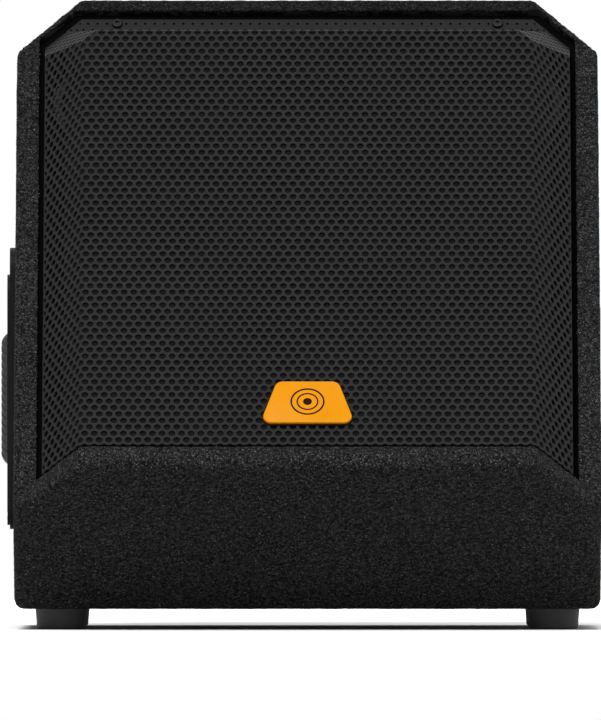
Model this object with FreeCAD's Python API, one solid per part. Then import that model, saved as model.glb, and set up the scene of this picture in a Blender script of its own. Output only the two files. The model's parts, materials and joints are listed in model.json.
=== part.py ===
import FreeCAD, Part
import math
import os

from FreeCAD import Vector

os.makedirs("parts", exist_ok=True)

# Stage monitor wedge: a carpeted plywood floor monitor with a 12-inch woofer and a horn behind a folded
# grille. Millimetres, +Z up. The section is drawn with Y = 0 at the kick lip's foremost corner and Z = 0 on
# the floor; PLACE then moves everything so that the origin is the centre of the footprint box.
# The grille plane leans back. Most of the front is described along it: X across, U up the slope from the
# kick face, L out of the slope along its normal, with L = 0 on the side rims.

# ---------------------------------------------------------------- driving dimensions
WIDTH = 430.0
LEAN = 40.0  # grille plane from vertical, degrees
RIM_LENGTH = 490.0  # rim plane, along U
KICK_DEPTH = 117.4  # kick face from the rim plane down to the underside
TOP_DEPTH = 165.0  # top panel, from the rim plane to the back edge
LIP = 49.0  # kick board above the rim plane
LIP_HALF_FLAT = 166.0
BEVEL = 50.0  # grille side and top bevels against the grille plane, degrees
FOOT_H = 15.0
FOOT_R = 19.0
FOOT_X = 181.0
CARPET = 1.5
PLY = 15.0
BAFFLE_T = 18.0
BAFFLE_L = -5.9  # front of the baffle
CLIP_X = 47.4  # clipped top corners
CLIP_U = 51.3
EDGE_R = 7.0
CRISP_R = 2.5
RIM_TOP = 478.2  # rabbet in the top panel
SHEET = 1.5  # grille steel

WOOFER_U = 174.0
HORN_U = 388.0
PORT_X = 152.0
HANDLE_Y = 338.0
HANDLE_Z = 168.5
PLATE_Y = 338.0
PLATE_Z = 149.4

SIN = math.sin(math.radians(LEAN))
COS = math.cos(math.radians(LEAN))
TAN_BEVEL = math.tan(math.radians(BEVEL))
U_DIR = Vector(0, SIN, COS)
N_DIR = Vector(0, -COS, SIN)
RIM_ORIGIN = Vector(0, LIP * COS, FOOT_H + KICK_DEPTH * SIN)
UP = Vector(0, 0, 1)
BACK_Y = RIM_ORIGIN.y + RIM_LENGTH * SIN + TOP_DEPTH * COS
HANDLE_PROUD = 11.8
PLATE_PROUD = 1.6
PLACE = Vector((HANDLE_PROUD - PLATE_PROUD) / 2, -BACK_Y / 2, 0)
FAR = 900.0


def slope(x, u, level):
    """The point at (x, u, level) of the grille plane's own axes."""
    return Vector(x, 0, 0) + RIM_ORIGIN + U_DIR * u + N_DIR * level


def save(name, shape):
    """Writes one node, moved into the part's own frame."""
    if isinstance(shape, (list, tuple)):
        shape = Part.makeCompound(list(shape))
    moved = shape.copy()
    moved.translate(PLACE)
    moved.exportStep("parts/" + name + ".step")
    solids = moved.Solids
    ok = all(s.isValid() for s in solids)
    volume = sum(s.Volume for s in solids) / 1000
    print(f"{name:24s} {len(solids):3d} solids {volume:9.2f} cm3 {'ok' if ok else 'BAD'}")


# ---------------------------------------------------------------- shape helpers
def extrude(points, direction):
    return Part.Face(Part.makePolygon(points + [points[0]])).extrude(direction)


def slope_prism(outline, low, high):
    """A prism whose outline is a list of (x, u), between two levels."""
    return extrude([slope(x, u, low) for x, u in outline], N_DIR * (high - low))


def slope_box(x, u, level):
    """A box given by (low, high) pairs along X, U and L."""
    return slope_prism([(x[0], u[0]), (x[1], u[0]), (x[1], u[1]), (x[0], u[1])], level[0], level[1])


def box(x, y, z):
    return Part.makeBox(x[1] - x[0], y[1] - y[0], z[1] - z[0], Vector(x[0], y[0], z[0]))


def fillet(solid, radius, choose):
    edges = [e for e in solid.Edges if choose(e)]
    return solid.makeFillet(radius, edges)


def revolve(profile, centre, axis):
    """A solid of revolution from (radius, height) points about an axis through centre."""
    side = Vector(1, 0, 0) if abs(axis.x) < 0.5 else Vector(0, 1, 0)
    wire = Part.makePolygon([centre + side * r + axis * h for r, h in profile + [profile[0]]])
    return Part.Face(wire).revolve(centre, axis, 360)


def rod(centre, axis, radius, low, high):
    return Part.makeCylinder(radius, high - low, centre + axis * low, axis)


def ring(centre, axis, outer, inner, low, high):
    return rod(centre, axis, outer, low, high).cut(rod(centre, axis, inner, low - 1, high + 1))


def around(count, radius, start=0.0):
    turn = 2 * math.pi / count
    return [
        (radius * math.cos(start + i * turn), radius * math.sin(start + i * turn)) for i in range(count)
    ]


def screw(centre, axis, head_r, head_h, shank_r, length, socket=True):
    """A button head screw: centre is under the head, axis points out of the head."""
    head = rod(centre, axis, head_r, 0, head_h)
    top = [e for e in head.Edges if (e.CenterOfMass - centre).dot(axis) > head_h * 0.9 and e.Length > head_r]
    head = head.makeFillet(head_h * 0.45, top)
    body = head.fuse(rod(centre, axis, shank_r, -length, 0.01))
    if socket:
        body = body.cut(rod(centre, axis, head_r * 0.42, head_h * 0.4, head_h + 1))
    return body.removeSplitter()


def lead(points, radius):
    """A wire along straight runs joined by tangent arcs, each as large as its two runs allow."""
    edges = []
    last = points[0]
    for before, at, after in zip(points, points[1:], points[2:]):
        a = before - at
        b = after - at
        run = min(a.Length, b.Length)
        a.normalize()
        b.normalize()
        half = (math.pi - a.getAngle(b)) / 2
        bend = 0.45 * run / math.tan(half)
        cut = 0.45 * run
        start = at + a * cut
        end = at + b * cut
        middle = (a + b).normalize()
        arc_mid = at + middle * (math.hypot(bend, cut) - bend)
        edges.append(Part.LineSegment(last, start).toShape())
        edges.append(Part.Arc(start, arc_mid, end).toShape())
        last = end
    edges.append(Part.LineSegment(last, points[-1]).toShape())
    path = Part.Wire(edges)
    heading = (points[1] - points[0]).normalize()
    section = Part.Wire([Part.Circle(points[0], heading, radius).toShape()])
    tube = path.makePipeShell([section], True, True)
    expected = math.pi * radius**2 * path.Length
    if abs(tube.Volume - expected) > 0.02 * expected:
        raise ValueError("a lead's volume is not its section times its length")
    return tube


def mirrored(shape):
    return shape.mirror(Vector(0, 0, 0), Vector(1, 0, 0))


# ---------------------------------------------------------------- cabinet
def clip_outline(inset, low_u, high_u, half=None):
    """The front outline with its clipped top corners, inset from the outside faces."""
    half = WIDTH / 2 - inset if half is None else half
    normal = math.hypot(CLIP_X, CLIP_U)
    across = CLIP_U / normal
    along = CLIP_X / normal
    reach = (WIDTH / 2) * across + (RIM_LENGTH - CLIP_U) * along - inset
    side_u = (reach - half * across) / along
    top_x = (reach - high_u * along) / across
    return [(-half, low_u), (half, low_u), (half, side_u), (top_x, high_u), (-top_x, high_u), (-half, side_u)]


def envelope(inset):
    """The cabinet's outside, inset by the carpet or the ply, with rounded edges."""
    under = FOOT_H + inset
    back = BACK_Y - inset
    rim = -inset
    foot = (slope(0, inset, 0).z - under) / SIN
    p_low = slope(0, inset, -foot)
    p_rim = slope(0, inset, rim)
    p_top = slope(0, RIM_LENGTH - inset, rim)
    deep = (back - p_top.y) / COS
    p_back = p_top - N_DIR * deep
    half = WIDTH / 2 - inset
    section = [p_rim, p_low, Vector(0, back, under), p_back, p_top]
    body = extrude([p + Vector(-half, 0, 0) for p in section], Vector(2 * half, 0, 0))
    body = body.common(slope_prism(clip_outline(inset, -FAR / 2, RIM_LENGTH - inset), -FAR, FAR / 3))

    flat = LIP_HALF_FLAT - inset * math.tan(math.radians(BEVEL / 2))
    height = LIP - inset
    foot_x = flat + (height - rim) / TAN_BEVEL
    outline = [(-foot_x, rim), (-flat, height), (flat, height), (foot_x, rim), (foot_x, -20), (-foot_x, -20)]
    thick = PLY + 2 * CARPET - 2 * inset
    lip = extrude([slope(x, inset, level) for x, level in outline], U_DIR * thick)
    whole = body.fuse(lip).removeSplitter()

    def crisp(edge):
        """Edges of the rim plane and of the clipped corners, which are nearly sharp."""
        middle = edge.CenterOfMass - RIM_ORIGIN
        on_rim = abs(middle.dot(N_DIR) - rim) < 0.01 and abs(abs(edge.CenterOfMass.x) - half) < 0.01
        on_top = middle.dot(U_DIR) > RIM_LENGTH - CLIP_U - 5 and edge.CenterOfMass.y < back - 1
        return (on_rim or on_top) and edge.Length > 30

    def rounded(edge):
        middle = edge.CenterOfMass - RIM_ORIGIN
        on_side = abs(abs(edge.CenterOfMass.x) - half) < 0.01
        on_kick = abs(middle.dot(U_DIR) - inset) < 0.01
        return (on_side or on_kick) and edge.Length > 30 and not crisp(edge)

    return fillet(fillet(whole, EDGE_R - inset, rounded), CRISP_R - inset, crisp)


OUTER = envelope(0.0)
WOOD = envelope(CARPET)
INNER_X = WIDTH / 2 - CARPET - PLY
INNER_TOP = RIM_LENGTH - CARPET - PLY
BACK_IN = BACK_Y - CARPET - PLY
FLOOR_IN = FOOT_H + CARPET + PLY
KICK_IN = CARPET + PLY
inside_x = box((-INNER_X, INNER_X), (-FAR, FAR), (-FAR, FAR))
above_kick = slope_box((-FAR, FAR), (KICK_IN, FAR), (-FAR, FAR))
below_top = slope_box((-FAR, FAR), (-FAR, INNER_TOP), (-FAR, FAR))
before_back = box((-FAR, FAR), (-FAR, BACK_IN), (-FAR, FAR))
in_clip = slope_prism(clip_outline(CARPET + PLY, -FAR, INNER_TOP + 40), -FAR, FAR)
rabbet_outline = clip_outline(4.8, KICK_IN, RIM_TOP, INNER_X)
rabbet = slope_prism(rabbet_outline, BAFFLE_L - BAFFLE_T, 20)
front_opening = slope_prism(clip_outline(4.8, KICK_IN + CARPET, RIM_TOP, INNER_X), -FAR / 9, FAR / 9)

kick_board = WOOD.common(slope_box((-FAR, FAR), (-FAR, KICK_IN), (-FAR, FAR)))
floor_panel = WOOD.common(inside_x).common(above_kick).common(box((-FAR, FAR), (-FAR, FAR), (0, FLOOR_IN)))
shell = WOOD.common(above_kick)
side_right = shell.common(box((INNER_X, FAR), (-FAR, FAR), (-FAR, FAR)))
inner = shell.common(inside_x).cut(box((-FAR, FAR), (-FAR, FAR), (-FAR, FLOOR_IN)))
back_panel = inner.cut(before_back)
front_part = inner.common(before_back)
top_panel = front_part.cut(below_top).cut(rabbet)
corner_right = (
    front_part.common(below_top).cut(in_clip).common(box((0, FAR), (-FAR, FAR), (-FAR, FAR))).cut(rabbet)
)

# Handle cup and terminal dish go through the sides and the carpet.
LEFT = -WIDTH / 2
RIGHT = WIDTH / 2
OUT_LEFT = Vector(-1, 0, 0)
OUT_RIGHT = Vector(1, 0, 0)
HANDLE_HOLE = (100.0, 160.0)  # across Y, up Z
HANDLE_W = 132.0
FLANGE_Z = (72.6, 280.6)
PLATE_HOLE = (92.0, 146.0)
PLATE_W = 120.0
PLATE_H = 174.2
handle_bolts = [
    (HANDLE_Y + side * (HANDLE_W / 2 - 8.5), z)
    for side in (-1, 1)
    for z in (FLANGE_Z[0] + 13.0, FLANGE_Z[1] - 11.0)
]
plate_bolts = [
    (PLATE_Y + side * (PLATE_W / 2 - 6.0), PLATE_Z + end * (PLATE_H / 2 - 6.5))
    for side in (-1, 1)
    for end in (-1, 1)
]


def side_window(centre_y, centre_z, hole, side, radius):
    """The block that cuts a rounded window through one side, 40 mm deep."""
    block = box(
        (WIDTH / 2 - 40, WIDTH / 2 + 10),
        (centre_y - hole[0] / 2, centre_y + hole[0] / 2),
        (centre_z - hole[1] / 2, centre_z + hole[1] / 2),
    )
    block = fillet(block, radius, lambda e: abs(e.tangentAt(e.FirstParameter).x) > 0.9)
    return block if side > 0 else mirrored(block)


handle_window = side_window(HANDLE_Y, HANDLE_Z, HANDLE_HOLE, -1, 12)
plate_window = side_window(PLATE_Y, PLATE_Z, PLATE_HOLE, 1, 8)
handle_pilots = Part.makeCompound([rod(Vector(LEFT, y, z), OUT_LEFT, 2.1, -20, 5) for y, z in handle_bolts])
plate_pilots = Part.makeCompound([rod(Vector(RIGHT, y, z), OUT_RIGHT, 1.7, -20, 5) for y, z in plate_bolts])
side_left = mirrored(side_right).cut(handle_window).cut(handle_pilots)
side_right = side_right.cut(plate_window).cut(plate_pilots)

FEET = [(x, y) for x in (-FOOT_X, FOOT_X) for y in (168.0, 440.0)]
foot_holes = [rod(Vector(x, y, 0), UP, 2.6, 0, FLOOR_IN + 1) for x, y in FEET]

carpet = OUTER.cut(WOOD).cut(front_opening).cut(handle_window).cut(plate_window)
carpet = carpet.cut(Part.makeCompound(foot_holes)).cut(handle_pilots).cut(plate_pilots)
carpet = max(carpet.Solids, key=lambda s: s.Volume)
floor_panel = floor_panel.cut(Part.makeCompound(foot_holes))

save("carpet_cover", carpet)
save("kick_board", kick_board)
save("side_panel_left", side_left)
save("side_panel_right", side_right)
save("top_panel", top_panel)
save("corner_panels", [corner_right, mirrored(corner_right)])
save("back_panel", back_panel)
save("floor_panel", floor_panel)

# ---------------------------------------------------------------- baffle
WOOFER_C = slope(0, WOOFER_U, BAFFLE_L)  # on the baffle's front face
HORN_C = slope(0, HORN_U, BAFFLE_L)
BASKET_R = 156.0
CUTOUT_R = 141.5
PORT_R = 30.0
PORT_U = 392.0
HORN_HALF = (112.0, 54.0)  # flange, X and U
HORN_MOUTH = (98.0, 41.0)
woofer_bolts = around(8, 150.5, math.pi / 8)
horn_bolts = [(x, u) for x in (-104.5, 104.5) for u in (-46.0, 46.0)]

baffle = slope_prism(rabbet_outline, BAFFLE_L - BAFFLE_T, BAFFLE_L)
baffle = baffle.cut(rod(WOOFER_C, N_DIR, CUTOUT_R, -BAFFLE_T - 1, 1))
mouth = (HORN_MOUTH[0] + 3, HORN_MOUTH[1] + 3)
baffle = baffle.cut(
    slope_box((-mouth[0], mouth[0]), (HORN_U - mouth[1], HORN_U + mouth[1]), (BAFFLE_L - BAFFLE_T - 1, 0))
)
for x in (-PORT_X, PORT_X):
    baffle = baffle.cut(rod(slope(x, PORT_U, BAFFLE_L), N_DIR, PORT_R + 2.5, -BAFFLE_T - 1, 1))
for x, u in woofer_bolts:
    baffle = baffle.cut(rod(slope(x, WOOFER_U + u, BAFFLE_L), N_DIR, 2.5, -BAFFLE_T - 1, 1))
for x, u in horn_bolts:
    baffle = baffle.cut(rod(slope(x, HORN_U + u, BAFFLE_L), N_DIR, 1.9, -BAFFLE_T - 1, 1))
grille_bolts = [(-141.0, 468.5), (141.0, 468.5)]
for x, u in grille_bolts:
    baffle = baffle.cut(rod(slope(x, u, BAFFLE_L), N_DIR, 1.7, -12, 1))
save("baffle", baffle)

cleat = 18.0
back_of_baffle = BAFFLE_L - BAFFLE_T
cleats = [
    slope_box((-INNER_X, -INNER_X + cleat), (60, 350), (back_of_baffle - cleat, back_of_baffle)),
    slope_box((INNER_X - cleat, INNER_X), (60, 350), (back_of_baffle - cleat, back_of_baffle)),
    slope_box((-150, 150), (INNER_TOP - cleat, INNER_TOP), (back_of_baffle - cleat, back_of_baffle)),
    slope_box((-INNER_X, INNER_X), (KICK_IN, KICK_IN + cleat), (back_of_baffle - cleat, back_of_baffle)),
]
save("baffle_cleats", cleats)

brace = box((-INNER_X, INNER_X), (BACK_IN - 40, BACK_IN), (236, 254))
save("back_brace", brace)

# ---------------------------------------------------------------- grille
GRILLE_LOW = KICK_IN + CARPET + 0.4
GRILLE_HIGH = 417.0
FLANGE_U = 462.0
FLANGE_END = 473.2
BEVEL_X = 193.9
FLANGE_L = BAFFLE_L + SHEET
CLIP_FEET = ((BEVEL_X, 445.2), (167.4, 472.9))  # the clip bevel's line on the flange
CLIP_HEAD = (LIP_HALF_FLAT, 406.4)  # and its corner on the flat face


def grille_solid(inset):
    """The folded grille's outside as a filled form, inset by the sheet."""
    flat = LIP_HALF_FLAT - inset * math.tan(math.radians(BEVEL / 2))
    level = LIP - inset
    side = BEVEL_X - inset
    drop = level - (side - flat) * TAN_BEVEL
    across = [(-side, BAFFLE_L), (side, BAFFLE_L), (side, drop), (flat, level), (-flat, level), (-side, drop)]
    tray = extrude([slope(x, GRILLE_LOW, l) for x, l in across], U_DIR * (FAR / 1.5))
    high = GRILLE_HIGH - inset * math.tan(math.radians(BEVEL / 2))
    top_tan = (LIP - FLANGE_L) / (FLANGE_U - GRILLE_HIGH)
    foot = high + (level - BAFFLE_L) / top_tan
    along = [(GRILLE_LOW, BAFFLE_L), (GRILLE_LOW, level), (high, level), (foot, BAFFLE_L)]
    wedge = extrude([slope(-FAR / 2, u, l) for u, l in along], Vector(FAR, 0, 0))
    form = tray.common(wedge)
    # The clipped corners are bevelled by a third plane, which meets the flange line and the flat face.
    for sign in (-1, 1):
        low_a, low_b = (slope(sign * x, u, FLANGE_L) for x, u in CLIP_FEET)
        high_a = slope(sign * CLIP_HEAD[0], CLIP_HEAD[1], LIP)
        plane_n = (low_b - low_a).cross(high_a - low_a).normalize()
        if plane_n.dot(slope(0, WOOFER_U, 0) - low_a) > 0:
            plane_n = plane_n * -1
        base = low_a - plane_n * inset
        side_dir = (low_b - low_a).normalize()
        up_dir = plane_n.cross(side_dir)
        corners = [
            base + side_dir * (FAR * a / 2) + up_dir * (FAR * b / 2)
            for a, b in ((-1, -1), (1, -1), (1, 1), (-1, 1))
        ]
        form = form.cut(extrude(corners, plane_n * FAR / 2))
    return form


grille = grille_solid(0).cut(grille_solid(SHEET))
flange_outline = clip_outline(4.8 + 4.0, 440.0, FLANGE_END, BEVEL_X)
flange = slope_prism(flange_outline, BAFFLE_L, FLANGE_L).cut(grille_solid(SHEET))
grille = grille.fuse(flange).removeSplitter()
for x, u in grille_bolts:
    grille = grille.cut(rod(slope(x, u, BAFFLE_L), N_DIR, 2.2, -1, 3))
save("grille", grille)

FOAM_T = 5.0
foam_level = LIP - SHEET
foam_flat = LIP_HALF_FLAT - 2.0
foam_side = 188.0
foam_drop = (foam_side - foam_flat) * TAN_BEVEL
foam_path = [
    (-foam_side, foam_level - foam_drop),
    (-foam_flat, foam_level),
    (foam_flat, foam_level),
    (foam_side, foam_level - foam_drop),
]
outer_line = [(x, l - 1.0) for x, l in foam_path]
inner_line = [(x * (1 - 2.4 / foam_side), l - 1.0 - FOAM_T) for x, l in foam_path]
foam = extrude(
    [slope(x, GRILLE_LOW + 4, l) for x, l in outer_line + inner_line[::-1]], U_DIR * (400 - GRILLE_LOW)
)
save("grille_foam", foam)

save(
    "grille_screws",
    [screw(slope(x, u, FLANGE_L), N_DIR, 4.0, 2.2, 1.6, 12) for x, u in grille_bolts],
)

# Badge: a plain rounded plate low on the grille.
BADGE_T = 3.0
badge_points = [(-35.0, 36.0), (35.0, 36.0), (22.5, 77.0), (-22.5, 77.0)]
badge = slope_prism(badge_points, LIP, LIP + BADGE_T)
badge = fillet(badge, 6.0, lambda e: abs(e.tangentAt(e.FirstParameter).dot(N_DIR)) > 0.9)
top_ring = [e for e in badge.Edges if abs((e.CenterOfMass - RIM_ORIGIN).dot(N_DIR) - LIP - BADGE_T) < 0.05]
badge = badge.makeFillet(0.8, top_ring)
save("badge", badge)

# ---------------------------------------------------------------- woofer
basket_profile = [
    (BASKET_R, 0),
    (BASKET_R, 4),
    (138.5, 4),
    (138.5, 0.5),
    (92, -62),
    (92, -70),
    (44, -70),
    (44, -74),
    (96, -74),
    (96, -61),
    (141, 0),
]
basket = revolve(basket_profile, WOOFER_C, N_DIR)
for i in range(6):
    angle = math.pi / 3 * i
    spoke_dir = Vector(math.cos(angle), 0, 0) + U_DIR * math.sin(angle)
    side_dir = N_DIR.cross(spoke_dir)
    low = WOOFER_C - N_DIR * 56
    window = extrude(
        [
            low + spoke_dir * 60 - side_dir * 36,
            low + spoke_dir * 60 + side_dir * 36,
            low + spoke_dir * 200 + side_dir * 50,
            low + spoke_dir * 200 - side_dir * 50,
        ],
        N_DIR * 48,
    )
    basket = basket.cut(window)
for x, u in woofer_bolts:
    basket = basket.cut(rod(slope(x, WOOFER_U + u, BAFFLE_L), N_DIR, 2.9, -5, 6))
save("woofer_basket", basket)
save("woofer_gasket", ring(WOOFER_C, N_DIR, 145.5, 139.5, 4.8, 7.3))
woofer_screws = [
    screw(slope(x, WOOFER_U + u, BAFFLE_L + 4.0), N_DIR, 4.5, 2.8, 2.4, 20) for x, u in woofer_bolts
]
save("woofer_screws", woofer_screws)
COIL_R = 38.0
save("woofer_top_plate", ring(WOOFER_C, N_DIR, 80.0, COIL_R + 1.6, -82.0, -74.0))
save("woofer_magnet", ring(WOOFER_C, N_DIR, 88.0, 50.0, -100.0, -82.0))
back_plate = rod(WOOFER_C, N_DIR, 82.0, -110.0, -100.0)
pole = rod(WOOFER_C, N_DIR, COIL_R - 1.6, -100.0, -74.0)
yoke = back_plate.fuse(pole).cut(rod(WOOFER_C, N_DIR, 15, -111, -70)).removeSplitter()
save("woofer_yoke", yoke)
cone_profile = [(125, -3), (125, -4), (39.2, -58), (39.2, -56.8)]
save("woofer_cone", revolve(cone_profile, WOOFER_C, N_DIR))
dust_cap_profile = [(0, -34), (22, -37), (44, -48), (44, -53.4), (43, -48.6), (21, -38), (0, -35)]
save("dust_cap", revolve(dust_cap_profile, WOOFER_C, N_DIR))
save("voice_coil", ring(WOOFER_C, N_DIR, COIL_R + 0.9, COIL_R - 0.3, -92.0, -58.0))
surround_profile = [
    (121, -3),
    (124, -2.2),
    (126, 3.0),
    (131, 7.6),
    (136, 5.6),
    (139, 4.8),
    (145.5, 4.8),
    (145.5, 4.0),
    (138.8, 4.0),
    (135, 4.8),
    (131, 6.6),
    (127, 2.4),
    (125, -3),
]
save("cone_surround", revolve(surround_profile, WOOFER_C, N_DIR))
spider_waves = [(39.0, -61.6), (50, -60.4), (60, -62.4), (70, -60.4), (80, -62.4), (89, -61.2)]
spider_profile = spider_waves + [(r, level - 1.0) for r, level in spider_waves[::-1]]
save("cone_spider", revolve(spider_profile, WOOFER_C, N_DIR))

# ---------------------------------------------------------------- horn and compression driver
THROAT_R = 12.7
HORN_DEEP = 100.0
flange_plate = slope_box(
    (-HORN_HALF[0], HORN_HALF[0]), (HORN_U - HORN_HALF[1], HORN_U + HORN_HALF[1]), (BAFFLE_L, BAFFLE_L + 5)
)


def mouth_wire(half_x, half_u, level):
    corners = [(-half_x, -half_u), (half_x, -half_u), (half_x, half_u), (-half_x, half_u)]
    points = [slope(x, HORN_U + u, level) for x, u in corners]
    return Part.makePolygon(points + [points[0]])


def horn_loft(grow):
    throat_half = THROAT_R + grow
    stations = [
        (0.0, HORN_MOUTH[0], HORN_MOUTH[1]),
        (0.35, 62, 31),
        (0.75, 24, 19),
        (1.0, throat_half, throat_half),
    ]
    wires = []
    for share, half_x, half_u in stations:
        extra = grow if share < 1 else 0
        level = BAFFLE_L + 5.0 - share * (HORN_DEEP + 5.0)
        wires.append(mouth_wire(half_x + extra, half_u + extra, level))
    return Part.makeLoft(wires, True, True)


horn = flange_plate.fuse(horn_loft(3.0)).cut(horn_loft(0.0))
horn = horn.fuse(ring(HORN_C, N_DIR, 40.0, THROAT_R, -HORN_DEEP - 6.0, -HORN_DEEP)).removeSplitter()
for x, u in horn_bolts:
    horn = horn.cut(rod(slope(x, HORN_U + u, BAFFLE_L), N_DIR, 2.3, -1, 7))
save("horn", horn)
save(
    "horn_screws",
    [screw(slope(x, HORN_U + u, BAFFLE_L + 5), N_DIR, 4.2, 2.4, 1.9, 20) for x, u in horn_bolts],
)
DRIVER_FRONT = -HORN_DEEP - 6.0
save("driver_front_plate", ring(HORN_C, N_DIR, 43.0, THROAT_R, DRIVER_FRONT - 6, DRIVER_FRONT))
save("driver_magnet", ring(HORN_C, N_DIR, 45.0, 26.0, DRIVER_FRONT - 20, DRIVER_FRONT - 6))
pole_ring = ring(HORN_C, N_DIR, 43.0, 18.6, DRIVER_FRONT - 26, DRIVER_FRONT - 20)
save("driver_back_plate", pole_ring)
phase = ring(HORN_C, N_DIR, 16.6, 6.0, DRIVER_FRONT - 24, DRIVER_FRONT - 6)
phase_foot = ring(HORN_C, N_DIR, 25.8, THROAT_R, DRIVER_FRONT - 9, DRIVER_FRONT - 6)
save("phase_plug", phase.fuse(phase_foot).removeSplitter())
dome = revolve(
    [(0, -31.5), (9, -30), (17.2, -26.2), (17.2, -21), (18.0, -21), (18.0, -27), (9.5, -31), (0, -32.5)],
    HORN_C + N_DIR * DRIVER_FRONT,
    N_DIR,
)
save("driver_diaphragm", dome)
save("diaphragm_surround", ring(HORN_C, N_DIR, 26.0, 18.05, DRIVER_FRONT - 26.4, DRIVER_FRONT - 26.0))
cover = rod(HORN_C, N_DIR, 40.0, DRIVER_FRONT - 50, DRIVER_FRONT - 26)
cover = cover.cut(rod(HORN_C, N_DIR, 36.0, DRIVER_FRONT - 46, DRIVER_FRONT - 25))
save("driver_rear_cover", cover)

# ---------------------------------------------------------------- reflex ports
ports = [
    ring(slope(x, PORT_U, BAFFLE_L), N_DIR, PORT_R + 2.4, PORT_R, -95, 0).fuse(
        ring(slope(x, PORT_U, BAFFLE_L), N_DIR, PORT_R + 6.0, PORT_R, 0, 2.0)
    )
    for x in (-PORT_X, PORT_X)
]
save("port_tubes", [p.removeSplitter() for p in ports])

# ---------------------------------------------------------------- side handle, on the left
# A screwed plate stands proud of the carpet; the cup behind it is snapped into the plate's window.
THICK_Z = (75.6, 260.8)
GRIP_Z = (118.9, 218.9)
PLATE_T = 4.9  # handle plate above the carpet
SCREW_SEAT = PLATE_T - 1.3


def side_plate(side, low, high, y, z, radius):
    """A rounded plate on a side face, between two distances proud of it."""
    start = WIDTH / 2 + low
    plate = box((start, WIDTH / 2 + high), y, z)
    plate = fillet(plate, radius, lambda e: abs(e.tangentAt(e.FirstParameter).x) > 0.9)
    return plate if side > 0 else mirrored(plate)


flange_y = (HANDLE_Y - HANDLE_W / 2, HANDLE_Y + HANDLE_W / 2)
handle_plate = side_plate(-1, 0, PLATE_T, flange_y, FLANGE_Z, 16)
boss_y = (HANDLE_Y - HANDLE_W / 2 + 3, HANDLE_Y + HANDLE_W / 2 - 3)
handle_plate = handle_plate.fuse(side_plate(-1, PLATE_T, 6.8, boss_y, THICK_Z, 14)).removeSplitter()
CUP_DEEP = 62.0
cup_y = (HANDLE_Y - HANDLE_HOLE[0] / 2 + 0.5, HANDLE_Y + HANDLE_HOLE[0] / 2 - 0.5)
cup_z = (HANDLE_Z - HANDLE_HOLE[1] / 2 + 0.5, HANDLE_Z + HANDLE_HOLE[1] / 2 - 0.5)
cup = side_plate(-1, -CUP_DEEP, 1.0, cup_y, cup_z, 11)
cup_room = side_plate(-1, -CUP_DEEP + 3, 20.0, (cup_y[0] + 3, cup_y[1] - 3), (cup_z[0] + 3, cup_z[1] - 3), 9)
handle_plate = handle_plate.cut(cup_room).cut(cup)
for y, z in handle_bolts:
    handle_plate = handle_plate.cut(rod(Vector(LEFT, y, z), OUT_LEFT, 2.4, -20, 20))
    handle_plate = handle_plate.cut(rod(Vector(LEFT, y, z), OUT_LEFT, 4.8, SCREW_SEAT, 20))
save("handle_plate", handle_plate.removeSplitter())
save("handle_cup", cup.cut(cup_room).removeSplitter())

GRIP_R = 15.0
grip_axis = Vector(LEFT - HANDLE_PROUD + GRIP_R, HANDLE_Y, 0)
grip = rod(grip_axis, UP, GRIP_R, GRIP_Z[0], GRIP_Z[1])
grip = grip.makeFillet(10.0, [e for e in grip.Edges if e.Curve.TypeId == "Part::GeomCircle"])
save("handle_grip", grip)
bar = rod(grip_axis, UP, 9.0, cup_z[0] + 3, cup_z[1] - 3)
bar = bar.cut(rod(grip_axis, UP, GRIP_R + 1, GRIP_Z[0], GRIP_Z[1]))
save("handle_bar_ends", bar.Solids)
save(
    "handle_screws",
    [screw(Vector(LEFT - SCREW_SEAT, y, z), OUT_LEFT, 4.2, 1.3, 2.0, 20) for y, z in handle_bolts],
)

# ---------------------------------------------------------------- terminal plate, on the right
DISH_DEEP = 26.0
plate_y = (PLATE_Y - PLATE_W / 2, PLATE_Y + PLATE_W / 2)
plate_z = (PLATE_Z - PLATE_H / 2, PLATE_Z + PLATE_H / 2)
plate = side_plate(1, 0, PLATE_PROUD, plate_y, plate_z, 8)
dish_y = (PLATE_Y - PLATE_HOLE[0] / 2 + 0.5, PLATE_Y + PLATE_HOLE[0] / 2 - 0.5)
dish_z = (PLATE_Z - PLATE_HOLE[1] / 2 + 0.5, PLATE_Z + PLATE_HOLE[1] / 2 - 0.5)
dish = side_plate(1, -DISH_DEEP - 2, 0.5, dish_y, dish_z, 7.5)
dish_room = side_plate(1, -DISH_DEEP, 9, (dish_y[0] + 2, dish_y[1] - 2), (dish_z[0] + 2, dish_z[1] - 2), 5.5)
terminal = plate.fuse(dish).cut(dish_room).removeSplitter()
twist_spots = [(PLATE_Y, PLATE_Z + 42.0), (PLATE_Y, PLATE_Z)]
jack_spots = [(PLATE_Y - 18.0, PLATE_Z - 42.0), (PLATE_Y + 18.0, PLATE_Z - 42.0)]
DISH_X = RIGHT - DISH_DEEP
for y, z in twist_spots:
    terminal = terminal.cut(rod(Vector(DISH_X, y, z), OUT_RIGHT, 12.2, -4, 4))
for y, z in jack_spots:
    terminal = terminal.cut(rod(Vector(DISH_X, y, z), OUT_RIGHT, 5.4, -4, 4))
for y, z in plate_bolts:
    terminal = terminal.cut(rod(Vector(RIGHT, y, z), OUT_RIGHT, 2.2, -1, 4))
save("terminal_plate", terminal)
save(
    "terminal_screws",
    [screw(Vector(RIGHT + 0.2, y, z), OUT_RIGHT, 1.95, 1.3, 1.6, 14, False) for y, z in plate_bolts],
)


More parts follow.
